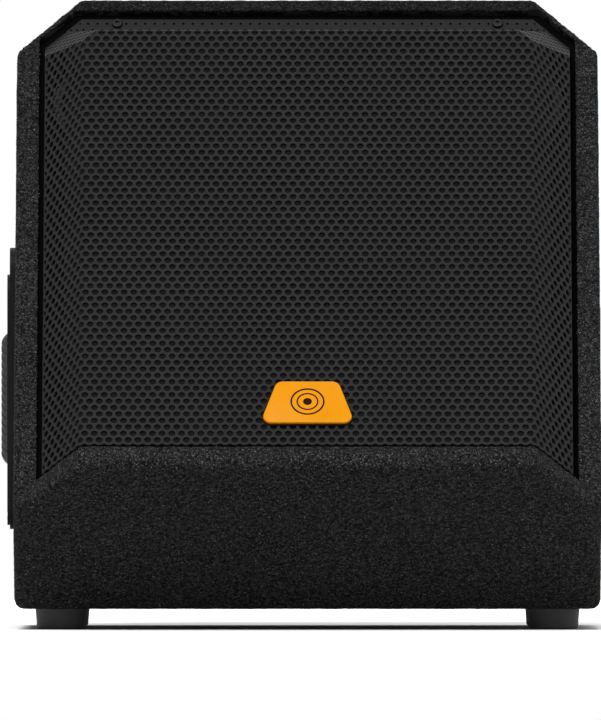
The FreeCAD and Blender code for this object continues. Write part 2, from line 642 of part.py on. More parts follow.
def twist_socket(y, z):
    """A panel socket for a speaker twist-lock plug: square flange, keyed round well, centre post."""
    base = Vector(DISH_X, y, z)
    body = box((DISH_X, DISH_X + 2.5), (y - 13, y + 13), (z - 15.5, z + 15.5))
    body = fillet(body, 3.0, lambda e: abs(e.tangentAt(e.FirstParameter).x) > 0.9)
    body = body.fuse(rod(base, OUT_RIGHT, 12.0, -24, 2.5)).cut(rod(base, OUT_RIGHT, 10.4, -21, 4))
    body = body.fuse(rod(base, OUT_RIGHT, 5.0, -22, 0)).removeSplitter()
    key = box((DISH_X - 21, DISH_X + 4), (y - 1.6, y + 1.6), (z + 9.5, z + 11.2))
    return body.cut(key)


def jack_socket(y, z):
    """A 6.35 mm jack socket: nut and ferrule outside, barrel behind."""
    base = Vector(DISH_X, y, z)
    body = rod(base, OUT_RIGHT, 8.5, 0, 3.0)
    body = body.fuse(rod(base, OUT_RIGHT, 5.2, -3, 5.0)).fuse(rod(base, OUT_RIGHT, 8.0, -30, -2.0))
    return body.cut(rod(base, OUT_RIGHT, 3.2, -28, 6)).removeSplitter()


save("twist_lock_sockets", [twist_socket(y, z) for y, z in twist_spots])
save("jack_sockets", [jack_socket(y, z) for y, z in jack_spots])

# ---------------------------------------------------------------- crossover, on the floor panel
board_y = (300.0, 410.0)
board_x = (-70.0, 80.0)
STAND = FLOOR_IN + 8.0
board = box(board_x, board_y, (STAND, STAND + 1.6))
standoffs = []
for x in (board_x[0] + 8, board_x[1] - 8):
    for y in (board_y[0] + 8, board_y[1] - 8):
        standoffs.append(rod(Vector(x, y, 0), UP, 4.0, FLOOR_IN, STAND))
        board = board.cut(rod(Vector(x, y, 0), UP, 2.0, STAND - 1, STAND + 3))
save("crossover_board", board)
save("board_standoffs", standoffs)
TOP = STAND + 1.6
save(
    "crossover_coils",
    [
        ring(Vector(-30, 355, 0), UP, 24, 9, TOP, TOP + 22),
        ring(Vector(25, 338, 0), UP, 16, 6, TOP, TOP + 16),
        ring(Vector(58, 378, 0), UP, 13, 5, TOP, TOP + 14),
    ],
)
capacitors = [
    Part.makeCylinder(9.0, 30.0, Vector(8, 366 + 20 * i, TOP + 9.0), Vector(1, 0, 0)) for i in range(2)
]
save("crossover_capacitors", capacitors)
resistors = [box((60, 72), (308 + 11 * i, 316 + 11 * i), (TOP, TOP + 8)) for i in range(3)]
save("crossover_resistors", resistors)

# ---------------------------------------------------------------- internal leads
LEAD_R = 2.2
dish_back = Vector(DISH_X - 24.2, *twist_spots[1])
input_path = [
    dish_back,
    dish_back + Vector(-30, 0, 0),
    Vector(110, 345, 90),
    Vector(85, 340, 62),
    Vector(60, 335, TOP + LEAD_R + 15),
    Vector(46, 322, TOP + LEAD_R + 2),
]
save("input_lead", lead(input_path, LEAD_R))
woofer_tag = WOOFER_C - N_DIR * 66 + Vector(99.0, 0, 0)
woofer_path = [
    Vector(-20, 308, TOP + LEAD_R + 0.2),
    Vector(20, 304, TOP + 18),
    Vector(70, 300, 90),
    Vector(104, 290, 120),
    woofer_tag - N_DIR * 30,
    woofer_tag,
]
save("woofer_lead", lead(woofer_path, LEAD_R))
driver_tag = HORN_C + N_DIR * (DRIVER_FRONT - 38) + Vector(-40 - LEAD_R, 0, 0)
horn_path = [
    Vector(-60, 320, TOP + LEAD_R + 0.2),
    Vector(-95, 335, 70),
    Vector(-120, 360, 110),
    Vector(-110, 390, 170),
    Vector(-90, 405, 225),
    driver_tag + Vector(-25, 5, -25),
    driver_tag,
]
save("horn_lead", lead(horn_path, LEAD_R))

# ---------------------------------------------------------------- lining
lining = box((-150, 150), (BACK_IN - 25.5, BACK_IN - 0.5), (60, 232))
save("damping_wadding", lining)

# ---------------------------------------------------------------- feet
feet = []
washers = []
foot_screws = []
for x, y in FEET:
    at = Vector(x, y, 0)
    foot = Part.makeCone(FOOT_R - 1.2, FOOT_R, FOOT_H, at, UP)
    low_ring = [e for e in foot.Edges if abs(e.CenterOfMass.z) < 0.01]
    foot = foot.makeFillet(1.8, low_ring)
    foot = foot.cut(rod(at, UP, 8.5, -1, 8)).cut(rod(at, UP, 2.7, 0, FOOT_H + 1))
    feet.append(foot)
    washers.append(ring(at, UP, 8.0, 2.8, 6.8, 8.0))
    foot_screws.append(screw(Vector(x, y, 6.8), -UP, 4.6, 2.6, 2.4, 24))
save("rubber_feet", feet)
save("foot_washers", washers)
save("foot_screws", foot_screws)
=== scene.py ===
import json
import math

import bmesh
import bpy
import numpy as np
from mathutils import Matrix, Vector, noise


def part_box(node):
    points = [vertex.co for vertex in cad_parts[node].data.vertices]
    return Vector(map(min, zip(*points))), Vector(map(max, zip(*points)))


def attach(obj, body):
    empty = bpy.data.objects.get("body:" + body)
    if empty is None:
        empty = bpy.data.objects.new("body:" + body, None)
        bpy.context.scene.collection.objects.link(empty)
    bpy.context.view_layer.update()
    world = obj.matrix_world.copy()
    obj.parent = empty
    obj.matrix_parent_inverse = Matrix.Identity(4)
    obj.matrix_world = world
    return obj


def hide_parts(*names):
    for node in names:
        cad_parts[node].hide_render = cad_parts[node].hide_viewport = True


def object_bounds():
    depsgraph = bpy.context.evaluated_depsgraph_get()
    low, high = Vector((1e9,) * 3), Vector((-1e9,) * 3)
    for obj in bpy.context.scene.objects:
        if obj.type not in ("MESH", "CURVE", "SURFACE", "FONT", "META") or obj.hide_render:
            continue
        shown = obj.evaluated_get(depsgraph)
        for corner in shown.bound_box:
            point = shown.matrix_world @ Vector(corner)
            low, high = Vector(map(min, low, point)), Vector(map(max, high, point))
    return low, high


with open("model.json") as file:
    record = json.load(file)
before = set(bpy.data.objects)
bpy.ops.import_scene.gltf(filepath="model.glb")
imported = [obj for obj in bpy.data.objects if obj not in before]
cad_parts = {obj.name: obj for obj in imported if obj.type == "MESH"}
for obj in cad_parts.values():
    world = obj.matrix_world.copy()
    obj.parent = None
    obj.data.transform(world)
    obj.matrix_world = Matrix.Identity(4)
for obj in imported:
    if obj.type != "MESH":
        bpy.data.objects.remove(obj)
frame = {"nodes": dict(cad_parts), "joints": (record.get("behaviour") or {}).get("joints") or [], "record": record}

CAD_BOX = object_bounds()
NODES = frame["nodes"]
ROOT = "cabinet"

# The grille plane's own axes: X across from the cabinet's middle, U up the slope, L out of it along the
# woofer's axis. L = 0 is the plane of the side rims. Metres.
N_DIR = Vector(frame["joints"][0]["axis"]).normalized()
U_DIR = Vector((0, N_DIR.z, -N_DIR.y))
BAFFLE_LOW, BAFFLE_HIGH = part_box("baffle")
MIDDLE_X = (BAFFLE_LOW.x + BAFFLE_HIGH.x) / 2
BAFFLE_U = 0.0165
BAFFLE_FRONT = -0.0059
BAFFLE_BACK = -0.0239
ORIGIN = Vector((
    MIDDLE_X,
    BAFFLE_LOW.y - BAFFLE_U * U_DIR.y - BAFFLE_FRONT * N_DIR.y,
    BAFFLE_LOW.z - BAFFLE_U * U_DIR.z - BAFFLE_BACK * N_DIR.z,
))
LIP = 0.049
LINING = BAFFLE_FRONT + 0.0003
RIM_HALF = 0.1985
RIM_LOW = 0.018
RIM_TOP = 0.4782
RIM_CORNER_U = 0.4495
RIM_CORNER_X = 0.1720


def at(x, u, level):
    """The point at (x, u, level) of the grille plane's axes."""
    return ORIGIN + Vector((x, 0, 0)) + U_DIR * u + N_DIR * level


def slope_coords(co):
    """Points, one a row, as (x, u, level) of the grille plane's axes."""
    rel = co - np.array(ORIGIN)
    return np.stack([rel[:, 0], rel @ np.array(U_DIR), rel @ np.array(N_DIR)], 1)


# ---------------------------------------------------------------- mesh helpers
def points_of(mesh):
    co = np.zeros(len(mesh.vertices) * 3)
    mesh.vertices.foreach_get("co", co)
    return co.reshape(-1, 3)


def normals_of(mesh):
    out = np.zeros(len(mesh.vertices) * 3)
    mesh.vertices.foreach_get("normal", out)
    return out.reshape(-1, 3)


def set_points(mesh, co):
    mesh.vertices.foreach_set("co", np.asarray(co, float).reshape(-1))
    mesh.update()


def new_object(name, mesh):
    obj = bpy.data.objects.new(name, mesh)
    bpy.context.scene.collection.objects.link(obj)
    return obj


def from_bmesh(name, bm, smooth=True):
    mesh = bpy.data.meshes.new(name)
    bm.to_mesh(mesh)
    bm.free()
    obj = new_object(name, mesh)
    if smooth:
        mesh.polygons.foreach_set("use_smooth", [True] * len(mesh.polygons))
    return obj


def apply_modifiers(obj):
    deps = bpy.context.evaluated_depsgraph_get()
    mesh = bpy.data.meshes.new_from_object(obj.evaluated_get(deps))
    obj.modifiers.clear()
    old = obj.data
    obj.data = mesh
    bpy.data.meshes.remove(old)
    return obj


def smooth_by_angle(obj, degrees=35):
    obj.data.polygons.foreach_set("use_smooth", [True] * len(obj.data.polygons))
    bm = bmesh.new()
    bm.from_mesh(obj.data)
    limit = math.radians(degrees)
    for edge in bm.edges:
        if len(edge.link_faces) == 2:
            edge.smooth = edge.calc_face_angle(0) < limit
    bm.to_mesh(obj.data)
    bm.free()


def bisect(bm, point, normal, faces, clear=False):
    edges = dict.fromkeys(e for f in faces for e in f.edges)
    verts = dict.fromkeys(v for f in faces for v in f.verts)
    geom = [*faces, *edges, *verts]
    bmesh.ops.bisect_plane(bm, geom=geom, plane_co=point, plane_no=normal, clear_outer=clear, dist=1e-6)


# ---------------------------------------------------------------- material helpers
class Nodes:
    """A small builder for one procedural material."""

    def __init__(self, name, color=(0.5, 0.5, 0.5), **sockets):
        self.material = bpy.data.materials.new(name)
        self.material.use_nodes = True
        self.tree = self.material.node_tree
        self.shader = self.tree.nodes["Principled BSDF"]
        self.shader.inputs["Base Color"].default_value = (*color, 1)
        for key, value in sockets.items():
            self.shader.inputs[key.replace("_", " ")].default_value = value
        self.coords = self.tree.nodes.new("ShaderNodeTexCoord").outputs["Object"]

    def add(self, kind, **settings):
        node = self.tree.nodes.new(kind)
        for key, value in settings.items():
            setattr(node, key, value)
        return node

    def link(self, source, target):
        self.tree.links.new(source, target)

    def moved(self, scale=(1, 1, 1), rotation=(0, 0, 0)):
        node = self.add("ShaderNodeMapping")
        node.inputs["Scale"].default_value = scale
        node.inputs["Rotation"].default_value = rotation
        self.link(self.coords, node.inputs["Vector"])
        return node.outputs["Vector"]

    def noise(self, scale, detail=2.0, roughness=0.5, distortion=0.0, vector=None):
        node = self.add("ShaderNodeTexNoise")
        settings = {"Scale": scale, "Detail": detail, "Roughness": roughness, "Distortion": distortion}
        for key, value in settings.items():
            node.inputs[key].default_value = value
        self.link(vector or self.coords, node.inputs["Vector"])
        return node.outputs["Fac"]

    def voronoi(self, scale, feature="F1", vector=None):
        node = self.add("ShaderNodeTexVoronoi", feature=feature)
        node.inputs["Scale"].default_value = scale
        self.link(vector or self.coords, node.inputs["Vector"])
        return node.outputs["Distance"]

    def wave(self, scale, distortion=0.0, vector=None, direction="X"):
        node = self.add("ShaderNodeTexWave", bands_direction=direction)
        node.inputs["Scale"].default_value = scale
        node.inputs["Distortion"].default_value = distortion
        self.link(vector or self.coords, node.inputs["Vector"])
        return node.outputs["Fac"]

    def ramp(self, source, stops):
        node = self.add("ShaderNodeValToRGB")
        ramp = node.color_ramp
        while len(ramp.elements) < len(stops):
            ramp.elements.new(0.5)
        for element, (place, color) in zip(ramp.elements, stops):
            element.position = place
            element.color = (*color, 1) if len(color) == 3 else (color[0],) * 3 + (1,)
        self.link(source, node.inputs["Fac"])
        return node.outputs["Color"]

    def math(self, operation, a, b):
        node = self.add("ShaderNodeMath", operation=operation)
        for slot, value in ((0, a), (1, b)):
            if isinstance(value, (int, float)):
                node.inputs[slot].default_value = value
            else:
                self.link(value, node.inputs[slot])
        return node.outputs[0]

    def mix(self, factor, a, b):
        node = self.add("ShaderNodeMix", data_type="RGBA")
        if isinstance(factor, (int, float)):
            node.inputs[0].default_value = factor
        else:
            self.link(factor, node.inputs[0])
        for slot, value in ((6, a), (7, b)):
            if isinstance(value, tuple):
                node.inputs[slot].default_value = (*value, 1)
            else:
                self.link(value, node.inputs[slot])
        return node.outputs[2]

    def fade(self, source, width):
        """One at zero, falling to nothing at the given value."""
        node = self.add("ShaderNodeMapRange", interpolation_type="SMOOTHSTEP")
        node.inputs["From Max"].default_value = width
        node.inputs["To Min"].default_value = 1.0
        node.inputs["To Max"].default_value = 0.0
        self.link(source, node.inputs["Value"])
        return node.outputs["Result"]

    def dot_from(self, point, direction):
        """Distance of the surface point from a plane through the point, along the direction."""
        offset = self.add("ShaderNodeVectorMath", operation="SUBTRACT")
        offset.inputs[1].default_value = point
        self.link(self.coords, offset.inputs[0])
        along = self.add("ShaderNodeVectorMath", operation="DOT_PRODUCT")
        along.inputs[1].default_value = direction
        self.link(offset.outputs["Vector"], along.inputs[0])
        return along.outputs["Value"]

    def bump(self, height, distance, strength=1.0, after=None):
        node = self.add("ShaderNodeBump")
        node.inputs["Distance"].default_value = distance
        node.inputs["Strength"].default_value = strength
        self.link(height, node.inputs["Height"])
        if after is not None:
            self.link(after, node.inputs["Normal"])
        return node.outputs["Normal"]

    def color(self, source):
        self.link(source, self.shader.inputs["Base Color"])

    def rough(self, source, low, high):
        value = self.add("ShaderNodeMapRange")
        value.inputs["To Min"].default_value = low
        value.inputs["To Max"].default_value = high
        self.link(source, value.inputs["Value"])
        self.link(value.outputs["Result"], self.shader.inputs["Roughness"])

    def normal(self, source):
        self.link(source, self.shader.inputs["Normal"])


def grained_plastic(name, color, gloss=0.45, grain=900.0, depth=0.00008, shine=0.3):
    """Moulded plastic with a fine spark-eroded grain and slight wear."""
    m = Nodes(name, color, Roughness=gloss)
    m.shader.inputs["Specular IOR Level"].default_value = shine
    fine = m.noise(grain, 3, 0.6)
    broad = m.noise(18, 4, 0.55)
    dark = tuple(c * 0.75 for c in color)
    light = tuple(min(1, c * 1.35 + 0.001) for c in color)
    m.color(m.mix(broad, dark, light))
    m.rough(fine, gloss - 0.08, gloss + 0.14)
    m.normal(m.bump(fine, depth))
    return m.material


def brushed_metal(name, color, roughness=0.32, metallic=1.0):
    m = Nodes(name, color, Metallic=metallic, Roughness=roughness)
    streak = m.noise(60, 4, 0.6, vector=m.moved((1, 22, 22)))
    spots = m.noise(25, 3, 0.5)
    m.color(m.mix(spots, tuple(c * 0.82 for c in color), color))
    m.rough(streak, roughness - 0.08, roughness + 0.16)
    m.normal(m.bump(streak, 0.00003))
    return m.material


def rubbery(name, color, roughness=0.6):
    m = Nodes(name, color, Roughness=roughness)
    m.shader.inputs["Specular IOR Level"].default_value = 0.25
    fine = m.noise(1400, 2, 0.6)
    dust = m.noise(30, 5, 0.65)
    dusty = tuple(c * 1.8 + 0.002 for c in color)
    m.color(m.mix(m.ramp(dust, [(0.45, (0.0,)), (0.8, (0.5,))]), color, dusty))
    m.rough(dust, roughness - 0.08, roughness + 0.15)
    m.normal(m.bump(fine, 0.00005))
    return m.material


def woven(name, color, pitch=0.0012):
    m = Nodes(name, color, Roughness=0.9)
    scale = 0.5 / pitch
    warp = m.wave(scale, 0.6, direction="X")
    weft = m.wave(scale, 0.6, direction="Z")
    cloth = m.math("MAXIMUM", warp, weft)
    m.color(m.mix(cloth, tuple(c * 0.5 for c in color), color))
    m.normal(m.bump(cloth, 0.0002))
    return m.material


def painted_slope_shade(m):
    """Painted shade of the carpet up the slope: a little darker at the lip and below it, darker by half at the top
    edge.
    """
    up_slope = m.dot_from(at(0, 0, 0), U_DIR)
    return m.ramp(up_slope, [
        (RIM_LOW, (0.86,)), (RIM_LOW + 0.02, (1.0,)), (RIM_TOP - 0.012, (1.0,)), (RIM_TOP, (0.5,)),
    ])


def carpet_material():
    """Black needle-felt carpet: curly fibres lying in all directions over a darker mat."""
    m = Nodes("carpet_felt", (0.02, 0.02, 0.02), Roughness=0.95)
    m.shader.inputs["Specular IOR Level"].default_value = 0.07

    def fibres(scale, width, distortion):
        """Bright where a noise field crosses its middle value, which draws thin wandering lines."""
        field = m.noise(scale, 1.0, 0.5, distortion)
        offset = m.math("ABSOLUTE", m.math("SUBTRACT", field, 0.5), 0.0)
        return m.fade(offset, width)

    thick = fibres(370, 0.11, 1.0)
    thin = fibres(600, 0.12, 1.2)
    lit = m.noise(400, 2, 0.6)
    clumps = m.noise(150, 3, 0.6, distortion=0.6)
    wear = m.noise(9, 3, 0.5)
    strands = m.math("ADD", m.math("MULTIPLY", thick, 0.0112), m.math("MULTIPLY", thin, 0.0078))
    glow = m.math("MULTIPLY", strands, m.ramp(lit, [(0.40, (0.04,)), (0.62, (2.3,))]))
    mat = m.math("ADD", glow, m.ramp(clumps, [(0.3, (0.0014,)), (0.7, (0.0030,))]))
    worn = m.math("MULTIPLY", mat, m.ramp(wear, [(0.3, (0.85,)), (0.7, (1.12,))]))

    # Painted shade: the strip turned in beside the grille, down in the slot to the baffle, is coloured darker,
    # nearly black down the sides and only a little darker on the top wall.
    level = m.dot_from(at(0, 0, 0), N_DIR)
    sideways = m.dot_from(at(0, 0, 0), Vector((1, 0, 0)))
    inside_x = m.math("LESS_THAN", m.math("ABSOLUTE", sideways, 0.0), RIM_HALF + 0.0007)
    inside_u = m.math("LESS_THAN", m.dot_from(at(0, 0, 0), U_DIR), RIM_TOP + 0.0007)
    above_lip = m.math("GREATER_THAN", m.dot_from(at(0, 0, 0), U_DIR), RIM_LOW - 0.0007)
    below_rim = m.math("LESS_THAN", level, -0.0006)
    low = m.math("MULTIPLY", below_rim, m.math("GREATER_THAN", level, LINING - 0.001))
    slot = m.math("MULTIPLY", m.math("MULTIPLY", inside_x, inside_u), m.math("MULTIPLY", above_lip, low))
    # Painted shade: how much the slot is darkened, most below the clipped corners and least at the top wall.
    depth = m.ramp(m.dot_from(at(0, 0, 0), U_DIR), [(RIM_CORNER_U, (0.85,)), (RIM_TOP - 0.001, (0.1,))])
    shade = m.math("SUBTRACT", 1.0, m.math("MULTIPLY", slot, depth))
    # Painted shade: the mat colour is darkened by the painted shade up the slope and by the painted shade in the
    # slot.
    m.color(m.math("MULTIPLY", m.math("MULTIPLY", worn, painted_slope_shade(m)), shade))
    height = m.math("ADD", m.math("MULTIPLY", thick, 0.6), m.math("MULTIPLY", thin, 0.4))
    m.normal(m.bump(m.math("ADD", height, clumps), 0.0007, 0.8))
    return m.material


def grille_material():
    """Semi-matt black powder coat with orange peel and faint patchy tone."""
    m = Nodes("grille_powder_coat", (0.03, 0.03, 0.031), Roughness=0.5)
    m.shader.inputs["Specular IOR Level"].default_value = 0.05
    peel = m.noise(700, 3, 0.55)
    patch = m.noise(14, 4, 0.6)
    m.color(m.mix(patch, (0.0106, 0.0106, 0.0108), (0.0142, 0.0142, 0.0144)))
    m.rough(peel, 0.6, 0.8)
    m.normal(m.bump(peel, 0.00005))
    return m.material


def foam_material():
    m = Nodes("grille_foam_cells", (0.02, 0.02, 0.02), Roughness=1.0)
    m.shader.inputs["Specular IOR Level"].default_value = 0.1
    cells = m.voronoi(900)
    blotch = m.noise(60, 3, 0.6)
    shade = m.math("MULTIPLY", cells, m.math("ADD", blotch, 0.5))
    m.color(m.ramp(shade, [(0.0, (0.002,)), (0.5, (0.003,)), (0.9, (0.0055,))]))
    m.normal(m.bump(cells, 0.0006))
    return m.material


def plywood_material():
    """Birch ply, painted black where the front recess shows it."""
    m = Nodes("birch_plywood", (0.5, 0.36, 0.2), Roughness=0.7)
    grain = m.noise(8, 5, 0.65, distortion=0.4, vector=m.moved((22, 2.2, 2.2)))
    wood = m.ramp(grain, [(0.3, (0.36, 0.23, 0.12)), (0.7, (0.62, 0.45, 0.27))])
    painted = m.math("GREATER_THAN", m.dot_from(at(0, 0, BAFFLE_BACK), N_DIR), 0.0)
    m.color(m.mix(painted, wood, (0.006, 0.006, 0.006)))
    m.normal(m.bump(grain, 0.0001))
    return m.material


def painted_wood():
    m = Nodes("baffle_black_paint", (0.008, 0.008, 0.008), Roughness=0.75)
    m.shader.inputs["Specular IOR Level"].default_value = 0.02
    stipple = m.noise(500, 3, 0.6)
    m.color(m.mix(stipple, (0.0004, 0.0004, 0.0004), (0.0009, 0.0009, 0.0009)))
    m.rough(stipple, 0.7, 0.95)
    m.normal(m.bump(stipple, 0.0002))
    return m.material


def paper_material():
    m = Nodes("cone_pulp", (0.02, 0.02, 0.019), Roughness=0.85)
    fibre = m.noise(260, 5, 0.7, distortion=1.5)
    m.color(m.ramp(fibre, [(0.3, (0.012,)), (0.7, (0.035,))]))
    m.normal(m.bump(fibre, 0.00025))
    return m.material


def winding_material():
    m = Nodes("copper_winding", (0.55, 0.22, 0.09), Metallic=1.0, Roughness=0.3)
    turns = m.wave(420, 0.3, direction="Z")
    m.color(m.mix(turns, (0.30, 0.10, 0.04), (0.72, 0.32, 0.14)))
    m.normal(m.bump(turns, 0.0003))
    return m.material


def board_material():
    m = Nodes("crossover_laminate", (0.02, 0.12, 0.05), Roughness=0.35)
    tracks = m.voronoi(120, "DISTANCE_TO_EDGE")
    m.color(m.mix(m.ramp(tracks, [(0.04, (0.0,)), (0.06, (1.0,))]), (0.05, 0.24, 0.10), (0.015, 0.10, 0.04)))
    m.normal(m.bump(tracks, 0.00003))
    return m.material


def ferrite_material():
    m = Nodes("ferrite", (0.05, 0.05, 0.055), Roughness=0.55)
    sinter = m.noise(320, 4, 0.6)
    m.color(m.mix(sinter, (0.03, 0.03, 0.034), (0.075, 0.075, 0.08)))
    m.normal(m.bump(sinter, 0.0001))
    return m.material


def resistor_material():
    m = Nodes("cement_resistor", (0.8, 0.78, 0.72), Roughness=0.85)
    sand = m.noise(500, 4, 0.6)
    m.color(m.mix(sand, (0.66, 0.64, 0.58), (0.86, 0.85, 0.80)))
    m.normal(m.bump(sand, 0.0002))
    return m.material


def wadding_material():
    m = Nodes("polyester_wadding", (0.75, 0.75, 0.72), Roughness=1.0)
    fluff = m.noise(90, 6, 0.75, distortion=2.0)
    m.color(m.ramp(fluff, [(0.3, (0.5, 0.5, 0.47)), (0.7, (0.86, 0.86, 0.84))]))
    m.normal(m.bump(fluff, 0.002))
    return m.material


def amber_material():
    """Bright amber enamel with faint cloudiness."""
    m = Nodes("badge_amber_enamel", (0.9, 0.33, 0.004), Roughness=0.45)
    m.shader.inputs["Specular IOR Level"].default_value = 0.05
    cloud = m.noise(60, 3, 0.5)
    m.color(m.mix(cloud, (0.43, 0.155, 0.0008), (0.50, 0.190, 0.0012)))
    m.rough(m.noise(600, 2, 0.5), 0.38, 0.52)
    m.normal(m.bump(m.noise(500, 2, 0.5), 0.00002))
    return m.material


MATERIALS = {
    "carpet": carpet_material(),
    "plywood": plywood_material(),
    "baffle_paint": painted_wood(),
    "grille_black": grille_material(),
    "foam": foam_material(),
    "badge_amber": amber_material(),
    "black_screw": brushed_metal("black_zinc", (0.016, 0.016, 0.0165), 0.5),
    "zinc_screw": brushed_metal("zinc_plate", (0.62, 0.62, 0.60), 0.3),
    "basket_black": grained_plastic("basket_paint", (0.02, 0.02, 0.021), 0.5, 400, 0.0002),
    "gasket": rubbery("gasket_rubber", (0.015, 0.015, 0.015), 0.8),
    "ferrite": ferrite_material(),
    "steel": brushed_metal("zinc_steel", (0.5, 0.5, 0.49), 0.35),
    "cone_paper": paper_material(),
    "copper": winding_material(),
    "surround_cloth": woven("surround_cloth", (0.02, 0.02, 0.02)),
    "spider_cloth": woven("spider_cloth", (0.42, 0.26, 0.10)),
    "horn_plastic": grained_plastic("horn_plastic", (0.016, 0.016, 0.016), 0.5),
    "cover_plastic": grained_plastic("cover_plastic", (0.022, 0.022, 0.022), 0.5),
    "diaphragm": brushed_metal("diaphragm_metal", (0.7, 0.7, 0.72), 0.28),
    "handle_plastic": grained_plastic("handle_plastic", (0.0038, 0.0038, 0.0040), 0.55, shine=0.08),
    "grip_rubber": rubbery("grip_rubber", (0.011, 0.011, 0.0112), 0.5),
    "bar_steel": brushed_metal("bar_black_paint", (0.03, 0.03, 0.03), 0.4, 0.0),
    "plate_black": grained_plastic("plate_plastic", (0.0065, 0.0065, 0.0067), 0.62, shine=0.06),
    "socket_black": grained_plastic("socket_nylon", (0.016, 0.016, 0.017), 0.3),
    "jack_nickel": brushed_metal("jack_nickel", (0.66, 0.64, 0.60), 0.22),
    "board": board_material(),
    "nylon": grained_plastic("natural_nylon", (0.72, 0.70, 0.64), 0.45),
    "capacitor": grained_plastic("capacitor_film", (0.62, 0.40, 0.05), 0.3, 300),
    "resistor": resistor_material(),
    "lead_pvc": rubbery("lead_sleeve", (0.02, 0.02, 0.02), 0.5),
    "wadding": wadding_material(),
    "foot_rubber": rubbery("foot_rubber", (0.046, 0.046, 0.0465), 0.6),
}

for row in frame["record"]["subparts"]:
    node = NODES[row["node"]]
    node.data.materials.clear()
    node.data.materials.append(MATERIALS[row["material_slot"]])


def finish_piece(obj, slot, body=ROOT, replaced=(), material=None):
    obj.data.materials.clear()
    obj.data.materials.append(material or MATERIALS[slot])
    if replaced:
        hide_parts(*replaced)
    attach(obj, body)
    return obj


# ---------------------------------------------------------------- camera, floor and light
FRAME_PX = (601, 720)
PX_MM = 0.735
CAMERA_FAR = 20.0
CAMERA_Z = 0.1976
FLOOR_FRONT, FLOOR_BACK, FLOOR_HALF = 2.4, 2.3, 3.0


def floor_material():
    """A pale, softly glossy studio floor."""
    m = Nodes("pale_floor", (0.9, 0.9, 0.9), Roughness=0.5)
    matt = m.add("ShaderNodeBsdfDiffuse")
    matt.inputs["Color"].default_value = (0.82, 0.82, 0.82, 1)
    shine = m.add("ShaderNodeBsdfGlossy")
    shine.inputs["Color"].default_value = (0.97, 0.97, 0.97, 1)
    shine.inputs["Roughness"].default_value = 0.3
    both = m.add("ShaderNodeMixShader")
    both.inputs[0].default_value = 0.05
    m.link(matt.outputs[0], both.inputs[1])
    m.link(shine.outputs[0], both.inputs[2])
    m.link(both.outputs[0], m.tree.nodes["Material Output"].inputs["Surface"])
    return m.material


def make_stage():
    scene = bpy.context.scene
    scene.view_settings.view_transform = "Standard"
    front = CAD_BOX[0].y + 0.165
    data = bpy.data.cameras.new("camera")
    view_height = FRAME_PX[1] * PX_MM / 1000
    data.lens = data.sensor_width * CAMERA_FAR / view_height
    data.clip_end = 100
    camera = bpy.data.objects.new("camera", data)
    camera.location = (0, front - CAMERA_FAR, CAMERA_Z)
    camera.rotation_euler = (math.radians(90), 0, 0)
    scene.collection.objects.link(camera)
    scene.camera = camera

    world = bpy.data.worlds.new("studio")
    scene.world = world
    world.use_nodes = True
    tree = world.node_tree
    soft = tree.nodes["Background"]
    soft.inputs["Color"].default_value = (1, 1, 1, 1)
    soft.inputs["Strength"].default_value = 0.30
    backdrop = tree.nodes.new("ShaderNodeBackground")
    backdrop.inputs["Color"].default_value = (1, 1, 1, 1)
    path = tree.nodes.new("ShaderNodeLightPath")
    mixer = tree.nodes.new("ShaderNodeMixShader")
    direct = tree.nodes.new("ShaderNodeMath")
    direct.operation = "MAXIMUM"
    tree.links.new(path.outputs["Is Camera Ray"], direct.inputs[0])
    tree.links.new(path.outputs["Is Glossy Ray"], direct.inputs[1])
    tree.links.new(direct.outputs[0], mixer.inputs[0])
    tree.links.new(soft.outputs[0], mixer.inputs[1])
    tree.links.new(backdrop.outputs[0], mixer.inputs[2])
    tree.links.new(mixer.outputs[0], tree.nodes["World Output"].inputs[0])

    bm = bmesh.new()
    corners = [
        (-FLOOR_HALF, -FLOOR_FRONT), (FLOOR_HALF, -FLOOR_FRONT),
        (FLOOR_HALF, FLOOR_BACK), (-FLOOR_HALF, FLOOR_BACK),
    ]
    bm.faces.new([bm.verts.new((x, y, -0.0002)) for x, y in corners])
    floor = from_bmesh("floor", bm, False)
    floor.data.materials.append(floor_material())

    def area(name, place, target, size, power):
        lamp = bpy.data.lights.new(name, "AREA")
        lamp.shape = "RECTANGLE"
        lamp.size, lamp.size_y = size
        lamp.energy = power
        obj = bpy.data.objects.new(name, lamp)
        obj.location = place
        obj.rotation_euler = (Vector(target) - Vector(place)).to_track_quat("-Z", "Y").to_euler()
        scene.collection.objects.link(obj)

    sun = bpy.data.lights.new("key", "SUN")
    sun.energy = 4.6
    sun.angle = math.radians(30)
    key = bpy.data.objects.new("key", sun)
    key.rotation_euler = Vector((0.14, 0.64, -0.75)).to_track_quat("-Z", "Y").to_euler()
    scene.collection.objects.link(key)
    area("fill", (2.4, -1.2, 1.2), (0, 0, 0.2), (1.4, 1.8), 14)
    area("back", (0.3, 2.0, 2.4), (0, 0, 0.3), (2.5, 1.5), 60)


make_stage()


# ---------------------------------------------------------------- carpet
CARPET_CELL = 0.0026
CARPET_T = 0.0013
LIP_REACH = 0.2078              # half width of the lip at its foot
WALL_X = 0.2150                 # outside of the side panels from the middle
HANDLE_WINDOW = (0.0500, 0.0800)  # half sizes along Y and Z
HANDLE_MIDDLE_Z = 0.1685
DISH_WINDOW = (0.0460, 0.0730)


def hull(bm, points):
    verts = [bm.verts.new(p) for p in points]
    out = bmesh.ops.convex_hull(bm, input=verts)
    junk = {g for g in out["geom_interior"] + out["geom_unused"] if isinstance(g, bmesh.types.BMVert)}
    bmesh.ops.delete(bm, geom=list(junk), context="VERTS")


